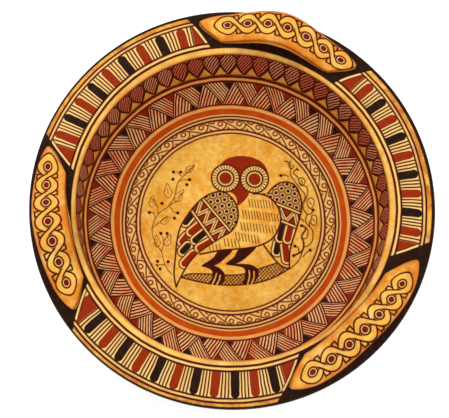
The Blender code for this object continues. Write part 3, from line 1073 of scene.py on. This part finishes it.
# Floor bands: radius and width of the orange ring, of its red edges and of the black lines, and where the
# peach ground begins and the cream one runs
ORANGE_RING = (75.7, 3.4)
ORANGE_EDGES = ((77.4, 0.6), (74.0, 0.6))
ORANGE_CLOUDS = ((ORANGE_GLOW, 0.7, 0.15, 4.0, 0.6, 14.0, 0.4, 0.7),)
FLOOR_LINES = (
    (60.6, 0.9), (63.0, 1.15), (70.0, 1.25), (72.3, 1.0), (80.3, 0.9), (95.3, 1.1), (97.8, 1.1),
)
PEACH_START = 77.0
CREAM_INNER, CREAM_OUTER = 60.6, 74.2


def bands_paint(place):
    """The floor's bands between the picture and the wall."""
    colour = mix(clay_ground(place), PEACH, (place.radius - PEACH_START).cover() * 0.6)
    colour = mix(colour, CREAM, (CREAM_OUTER - place.radius).least(place.radius - CREAM_INNER).cover() * 0.7)
    orange = clouded(place, ORANGE_SLIP, ORANGE_CLOUDS)
    colour = mix(colour, orange, place.ring(*ORANGE_RING).cover())
    edges = most_of([place.ring(*edge) for edge in ORANGE_EDGES])
    colour = mix(colour, RED_SLIP, edges.cover(0.3) * 0.6)
    colour = zigzag_band(place, colour)
    scroll = scroll_band(place).least(SCROLL_HALF + 0.2 - abs(place.radius - SCROLL_MIDDLE))
    lines = most_of([scroll] + [place.ring(*line) for line in FLOOR_LINES])
    return paint_over(place, colour, [(FLOOR_INK, lines)])


TONGUES = 58
TONGUE_START = 72.8
TONGUE_TOP, TONGUE_LENGTH = 1.2, 40.4
TONGUE_LEAN = 2.6
TONGUE_ROUND = 0.64
TONGUE_LINE = 0.7
TONGUE_HATCH = 2.1
WALL_RADIUS = 99.2


def wall_paint(place):
    """Almond tongues down the wall, in pairs of red-brown and black, hatched with light lines, on a ground
    that darkens into painted shade towards the top.

    Half the width goes as the sine of a power below one of the share of the way down, so a tongue is round
    above and pointed below. The tongues lean away from the back strap.
    """
    below = LIP_HEIGHT - place.height
    # Painted shade: the ground turns brown towards the wall's top, from 32 mm below the lip to full at 6 mm,
    # with a little brown everywhere
    ground = mix(clay_ground(place), PAINTED_WALL_SHADE, spread(below, 32.0, 6.0) * 0.85 + 0.05)
    step = 360.0 / TONGUES
    step_mm = math.radians(step) * WALL_RADIUS
    share = ((below - TONGUE_TOP) / TONGUE_LENGTH).most(0.001).least(0.999)
    lean = place.wave(75.0) * (share - 0.4) * TONGUE_LEAN
    count = (place.angle - TONGUE_START + lean) / step + 0.5
    x = (count % 1.0 - 0.5) * step_mm
    half = (share.power(TONGUE_ROUND) * math.pi).sine().most(0.0).power(0.8) * (step_mm * 0.53)
    depth = (half - abs(x)) * 0.9
    is_red = ((count + 1.0) % 4.0).above(2.0)
    unsteady = place.noise(0.12, 2.0, seed=23.0) * 2.4
    stripe = abs(((x - below * 0.27 + unsteady) / TONGUE_HATCH) % 1.0 - 0.5)
    dark = mix(TONGUE_BLACK, TONGUE_RED, is_red)
    light = mix(TONGUE_DUN, TONGUE_ROSE, is_red)
    body = mix(dark, light, ((stripe - 0.27) * TONGUE_HATCH).cover(0.16))
    colour = mix(ground, body, depth.cover())
    outline = (TONGUE_LINE - abs(depth)).least(TONGUE_LENGTH + 1.4 - below)
    foot = 0.6 - abs(below - (TONGUE_LENGTH + TONGUE_TOP + 0.4))
    top = 0.8 - abs(below - 1.4)
    return paint_over(place, colour, [(INK, outline.most(foot).most(top))])


# Painted rim between the straps: for each run of bars the first one's angle, the step, how many, which
# colour comes first and by how many steps the middle ones have slipped; for each black patch its ends at the
# rim's edge and its ends at the lip
BAR_RUNS = ((351.2, 6.27, 9, 0.0, 0.0), (106.5, 6.4, 9, 0.0, 0.2), (221.5, 6.14, 11, 1.0, 0.0))
PATCHES = ((44.4, 103.9, 50.6, 97.8), (158.3, 218.9, 167.5, 209.4), (282.0, 350.0, 293.0, 341.7))
PATCH_LIP, PATCH_WIDTH = 105.0, 24.3
BAR_INNER, BAR_OUTER = 107.1, 122.25
BAR_HALF = 2.85
BAR_LINE = 0.43
END_GAP = 1.9
END_LINE = 0.35
OUTER_LINES = ((125.1, 1.2), (122.55, 1.1))
INNER_LINES = ((107.0, 1.2), (104.1, 1.4))
OUTER_GAP, INNER_GAP = (123.8, 1.3), (105.6, 1.4)
LIP_PAINT = 104.0
# How far the outer circles and the black edge lie off the axis, and in which direction; how far the inner
# lines draw in beside the straps, and the angle that their three waves start from
OFF_AXIS, BLACK_OFF_AXIS, OFF_AXIS_ANGLE = 1.6, 0.9, 134.0
INNER_DRAW, INNER_DRAW_ANGLE = 0.65, -10.0
BLACK_EDGE = 128.0
PATCH_INNER = 103.6


def rim_bars(place, inner_radius, outer_radius, patches):
    """Bars in turn black and red with round outer ends, thin lines between, a red corner at each end."""
    black, red, lines = [], [], []
    zone = (inner_radius - BAR_INNER).least(BAR_OUTER + 0.4 - outer_radius)
    for first, step, number, start_colour, slipped in BAR_RUNS:
        step_mm = place.radius * math.radians(step)
        last = number - 1.0
        count = ((place.angle - first + 180.0) % 360.0 - 180.0) / step
        if slipped:
            count = count - (count.most(0.0).least(last) * (math.pi / last)).sine() * slipped
        nearest = (count + 0.5).floor().most(0.0).least(last)
        offset = abs(count - nearest) * step_mm
        beyond = (outer_radius - (BAR_OUTER - BAR_HALF)).most(0.0)
        bar = (BAR_HALF - offset.hypot(beyond)).least(inner_radius - BAR_INNER)
        is_black = (nearest + start_colour) % 2.0 - 0.5
        black.append(bar.least(is_black))
        red.append(bar.least(-is_black))
        past_end = abs(count - last / 2.0) - last / 2.0
        from_middle = abs(count % 1.0 - 0.5)
        thin = BAR_LINE - from_middle.least(abs(from_middle - 0.165)) * step_mm
        lines.append(thin.least((0.53 - past_end) * step_mm))
        red.append(((past_end - 0.54) * step_mm).least((1.4 - past_end) * step_mm))
    inside = zone.least(-(patches + END_GAP))
    black, red, lines = (most_of(depths).least(inside) for depths in (black, red, lines))
    return black, red, lines.most(END_LINE - abs(patches + END_GAP)).least(zone)


def rim_paint(place):
    """The rim: bars, thin lines, black patches under the straps, and a black edge; on the lip ring a painted
    highlight on one side and painted shade at its inner edge.

    The outer lines, the bars' ends and the black edge follow circles about a centre a little off the axis.
    The inner lines draw in towards the lip three times a turn, beside the straps.
    """
    patches = most_of([place.within(*patch) for patch in PATCHES])
    off_axis = place.wave(OFF_AXIS_ANGLE)
    outer_radius = place.radius - off_axis * OFF_AXIS
    thrice = (place.angle - INNER_DRAW_ANGLE) * math.radians(3.0)
    inner_radius = place.radius - thrice.cosine() * INNER_DRAW
    black, red, lines = rim_bars(place, inner_radius, outer_radius, patches)
    for from_middle, rings in ((outer_radius, OUTER_LINES), (inner_radius, INNER_LINES)):
        for radius, width in rings:
            lines = lines.most(width / 2.0 - abs(from_middle - radius))
    bar_zone = (inner_radius - BAR_INNER).least(BAR_OUTER - outer_radius)
    ground = clay_ground(place)
    stained = spread(place.noise(0.09, 4.0, 0.65, seed=12.0), 0.42, 0.62)
    ground = mix(ground, STAIN_AND_SHADE, stained * ((outer_radius - BAR_OUTER).cover() * 0.9))
    outer_gap = OUTER_GAP[1] - abs(outer_radius - OUTER_GAP[0])
    between_lines = outer_gap.most(INNER_GAP[1] - abs(inner_radius - INNER_GAP[0]))
    for depth, seed, least_share in ((bar_zone, 13.0, 0.35), (between_lines, 16.0, 0.1)):
        share = place.noise(0.12, 4.0, 0.6, seed=seed) * 0.8 + least_share
        ground = mix(ground, BAR_PALE, depth.cover() * share)
    lip = (LIP_PAINT - inner_radius).cover()
    # Straw colour on the lip ring all round, plus a painted highlight on the side from 160° to 340°,
    # strongest at 250°
    ground = mix(ground, STRAW, lip * (place.wave(160.0).most(0.0) * 0.5 + 0.3))
    ground = mix(ground, PALE, lip * (spread(place.noise(0.1, 4.0, 0.6, seed=15.0), 0.4, 0.65) * 0.5))
    ground = mix(ground, STAIN_AND_SHADE, stained * (lip * 0.4))
    # Painted shade: a brown band on the lip's inner rounding, where it turns down into the wall
    ground = mix(ground, STAIN_AND_SHADE, (LIP_RADIUS + 0.9 - place.radius).cover(0.5) * 0.6)
    patch = patches.least(inner_radius - PATCH_INNER)
    edge = place.true_radius - (off_axis * BLACK_OFF_AXIS + BLACK_EDGE)
    coats = [(RIM_RED, red), (INK, lines), (BLACK_SLIP, black), (BLACK_SLIP, patch.most(edge))]
    return paint_over(place, ground, coats)


# Twist on the straps: how far a strand swings, half its width and its outline; the eyes' pale discs, clear
# edges, rings and pupils; the short bars between the eyes; and the power that shapes the end loops
TWIST_SWING, TWIST_HALF, TWIST_LINE = 5.3, 2.8, 0.5
EYE_PALE, EYE_CLEAR, EYE_RING, EYE_PUPIL = 3.1, 4.0, 3.2, 2.1
TAB_HALF, TAB_REACH = 1.5, 7.7
LOOP_POWER = 1.6
TWIST_CLOUDS = (
    (AMBER, 0.7, 0.08, 3.0, 0.6, 41.0, 0.42, 0.6), (STAIN_AND_SHADE, 0.5, 0.2, 4.0, 0.65, 43.0, 0.5, 0.68),
)
TWIST_GLOW = ((PALE, 0.5, 0.07, 3.0, 0.6, 45.0, 0.54, 0.7),)


def twist_paint(eyes):
    """Paint of one strap: a two-strand twist round ringed eyes, on a golden ground with painted shade along
    its edges and ends.

    Each strand swings across the row as a sine with a little of its third harmonic, which rounds the loops.
    """
    number, first, step, row_end, bow, skew = eyes
    last = number - 1.0
    step_mm = math.radians(step) * row_end

    def paint(place):
        count = ((place.angle - first + 90.0) % 360.0 - 90.0) / step
        along = (count / (last / 2.0) - 1.0).least(1.3).most(-1.3)
        row = row_end - bow + along * along * bow + along * skew
        y = (place.radius - row) / (1.04 - abs(along) * 0.2)
        x = count % 1.0 - 0.5
        turn = x * math.pi
        rise = (turn.sine() + (turn * 3.0).sine() * 0.06) * (TWIST_SWING * 1.06)
        slope = (turn.cosine() + (turn * 3.0).cosine() * 0.18) * (TWIST_SWING * 1.06 * math.pi / step_mm)
        lean = (slope * slope + 1.0).power(0.5)
        over = (TWIST_HALF - abs(y - rise)) / lean
        under = (TWIST_HALF - abs(y + rise)) / lean
        in_row = count.least(last - count) * step_mm
        twist = (TWIST_LINE - abs(over)).most((TWIST_LINE - abs(under)).least(-over))
        from_end = abs(count - count.most(0.0).least(last)) * (step_mm * 0.94)
        loop_reach = (from_end.power(LOOP_POWER) + abs(y).power(LOOP_POWER)).power(1.0 / LOOP_POWER)
        loop_depth = TWIST_SWING + TWIST_HALF - loop_reach
        nearest = (count + 0.5).floor().most(0.0).least(last)
        reach = ((count - nearest) * step_mm).hypot(y)
        tabs = (TAB_HALF - abs(x * step_mm - y * 0.12)).least(TAB_REACH - abs(y))
        tabs = (TWIST_LINE - abs(tabs)).least(-over).least(-under).least(in_row)
        ink = twist.least(in_row).most((TWIST_LINE - abs(loop_depth)).least(-in_row)).most(tabs)
        ink = ink.least(reach - EYE_CLEAR).most(0.52 - abs(reach - EYE_RING))
        strand = over.most(under).least(in_row).most(loop_depth.least(-in_row))
        edge = attribute(place, "from_edge")
        # Painted shade: the ground turns amber within 5 mm of the strap's edges and ends
        colour = mix(clay_ground(place), AMBER, spread(edge, 5.0, 0.5) * 0.8)
        colour = clouded(place, colour, TWIST_CLOUDS)
        colour = mix(colour, STRAW, strand.cover() * 0.45)
        colour = clouded(place, colour, TWIST_GLOW)
        colour = mix(colour, PALE, (EYE_PALE - reach).cover() * 0.8)
        # Painted shade: a brown line along the strap's edges and ends
        colour = mix(colour, BROWN_WASH_AND_SHADE, spread(edge, 1.3, 0.2) * 0.7)
        return paint_over(place, colour, [(PUPIL_RED, EYE_PUPIL - reach), (INK, ink)])

    return paint


CLEAR_LINES = (50.0, 46.6)
FOOT_CLEAR = 6.4
UNDER_DARK = (172, 96, 52)
UNDER_LIGHT = (222, 150, 92)


def outside_paint(place):
    """Black slip outside the bowl with two clay lines left clear, and the rim's black edge."""
    lines = most_of([0.7 - abs(place.height - line) for line in CLEAR_LINES])
    lines = lines.most(FOOT_CLEAR - place.height)
    return paint_over(place, mix(clay_ground(place), BARE_CLAY, 0.5), [(BLACK_SLIP, -lines)])


def underside_paint(place):
    """Bare clay with turning rings, darker in clouds."""
    rings = (place.true_radius * 2.4 + place.noise(0.06) * 4.0).sine()
    bare = mix(BARE_CLAY, UNDER_DARK, place.noise(0.1, 5.0, 0.65) * 0.8)
    return mix(bare, UNDER_LIGHT, rings.most(0.0) * 0.2)


def strap_side_paint(place):
    """The straps' edges and undersides: golden slip worn to the clay."""
    return mix(clay_ground(place), AMBER, 0.55)


# Relief of the finish in mm, and how much of it shows
GRAIN, TURNING_MARKS, SWELL = 0.16, 0.015, 0.5
BUMP_STRENGTH = 0.5
SPECULAR = 0.05


def finish_material(name, paint):
    """A satin fired finish: the painted colour, uneven gloss and a fine grain with turning marks."""
    material = bpy.data.materials.new(name)
    material.use_nodes = True
    tree = material.node_tree
    tree.nodes.clear()
    place = Place(tree)
    grain = place.noise(0.7, 4.0, 0.6, seed=31.0)
    turning = (place.true_radius * 1.9 + place.noise(0.05, seed=33.0) * 9.0).sine()
    relief = grain * GRAIN + turning * TURNING_MARKS + place.noise(0.06, seed=35.0) * SWELL
    bump = {"Height": relief, "Distance": MM, "Strength": BUMP_STRENGTH}
    inputs = {
        "Base Color": paint(place),
        "Roughness": 0.38 + place.noise(0.15, 4.0, seed=37.0) * 0.3,
        "Normal": place.radius.node("ShaderNodeBump", None, bump),
        "Specular IOR Level": SPECULAR,
    }
    surface = place.radius.node("ShaderNodeBsdfPrincipled", None, inputs)
    place.radius.node("ShaderNodeOutputMaterial", None, {"Surface": surface}, output=None)
    return material


# Stage


WHITE = (1.0, 1.0, 1.0, 1.0)
PALE_GREY = (0.92, 0.92, 0.92, 1.0)
FLOOR_REACH = 4000.0
FLOOR_GLOW = 0.5
WORLD_STRENGTH = 0.75
# Lights: place and size in metres, power in watts
LIGHTS = {"key": ((-0.5, 0.7, 1.3), 0.9, 9.0), "fill": ((0.9, -0.5, 1.2), 1.2, 4.0)}


def smooth_floor():
    """A pale sheet that lies flat under the dish."""
    side = FLOOR_REACH
    corners = np.array([[-side, -side, 0.0], [side, -side, 0.0], [side, side, 0.0], [-side, side, 0.0]])
    material = bpy.data.materials.new("pale_floor")
    material.use_nodes = True
    shader = material.node_tree.nodes["Principled BSDF"]
    shader.inputs["Base Color"].default_value = PALE_GREY
    shader.inputs["Roughness"].default_value = 0.9
    shader.inputs["Emission Color"].default_value = WHITE
    shader.inputs["Emission Strength"].default_value = FLOOR_GLOW
    floor = mesh_piece("floor", corners, [np.array([[0, 1, 2, 3]])], [material], [0])


def soft_light(name, place, size, power):
    """A square area light aimed at the dish's middle."""
    light = bpy.data.lights.new(name, "AREA")
    light.size = size
    light.energy = power
    lamp = bpy.data.objects.new(name, light)
    lamp.location = place
    lamp.rotation_euler = (-lamp.location).to_track_quat("-Z", "Y").to_euler()
    bpy.context.scene.collection.objects.link(lamp)


def studio():
    """White surroundings, a large light above the far left and a weaker one on the right."""
    world = bpy.data.worlds.new("studio")
    world.use_nodes = True
    background = world.node_tree.nodes["Background"]
    background.inputs["Color"].default_value = WHITE
    background.inputs["Strength"].default_value = WORLD_STRENGTH
    bpy.context.scene.world = world
    for name, (place, size, power) in LIGHTS.items():
        soft_light(name, place, size, power)


CAMERA_TILT = math.radians(12.0)
CAMERA_TURN = math.radians(5.5)
CAMERA_REACH = 1.1
CAMERA_SIDE = (0.00525, 0.0029)
CAMERA_LENS = 138.35
CAMERA_SENSOR = 36.0


def photo_camera():
    """A camera above and a little below the middle, tilted as in the photograph."""
    towards = np.array([
        -math.sin(CAMERA_TURN) * math.sin(CAMERA_TILT),
        -math.cos(CAMERA_TURN) * math.sin(CAMERA_TILT),
        math.cos(CAMERA_TILT),
    ])
    right = np.cross([0.0, 1.0, 0.0], towards)
    right /= np.linalg.norm(right)
    up = np.cross(towards, right)
    aim = np.array([0.0, 0.0, LIP_HEIGHT * MM]) - right * CAMERA_SIDE[0] - up * CAMERA_SIDE[1]
    place = aim + towards * CAMERA_REACH
    data = bpy.data.cameras.new("camera")
    data.lens = CAMERA_LENS
    data.sensor_width = CAMERA_SENSOR
    camera = bpy.data.objects.new("camera", data)
    turn = np.eye(4)
    turn[:3, :3] = np.stack([right, up, towards], axis=1)
    turn[:3, 3] = place
    camera.matrix_world = Matrix(turn.tolist())
    bpy.context.scene.collection.objects.link(camera)
    bpy.context.scene.camera = camera


def build():
    """Makes the dish and its straps."""
    paints = (picture_paint, bands_paint, wall_paint, rim_paint, outside_paint, underside_paint)
    dish = turned_dish([finish_material(zone, paint) for zone, paint in zip(ZONES, paints)])
    store_picture(dish)
    pieces = [dish]
    side = finish_material("strap_side", strap_side_paint)
    for name, (shape, eyes) in STRAPS.items():
        twist = finish_material(name + "_twist", twist_paint(eyes))
        pieces.append(strap_piece(name, shape, [twist, side]))
    for piece in pieces:
        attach(piece, "root")
        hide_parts("lekanis")


photo_camera()
studio()
smooth_floor()
build()
bpy.context.scene.view_settings.view_transform = "Standard"
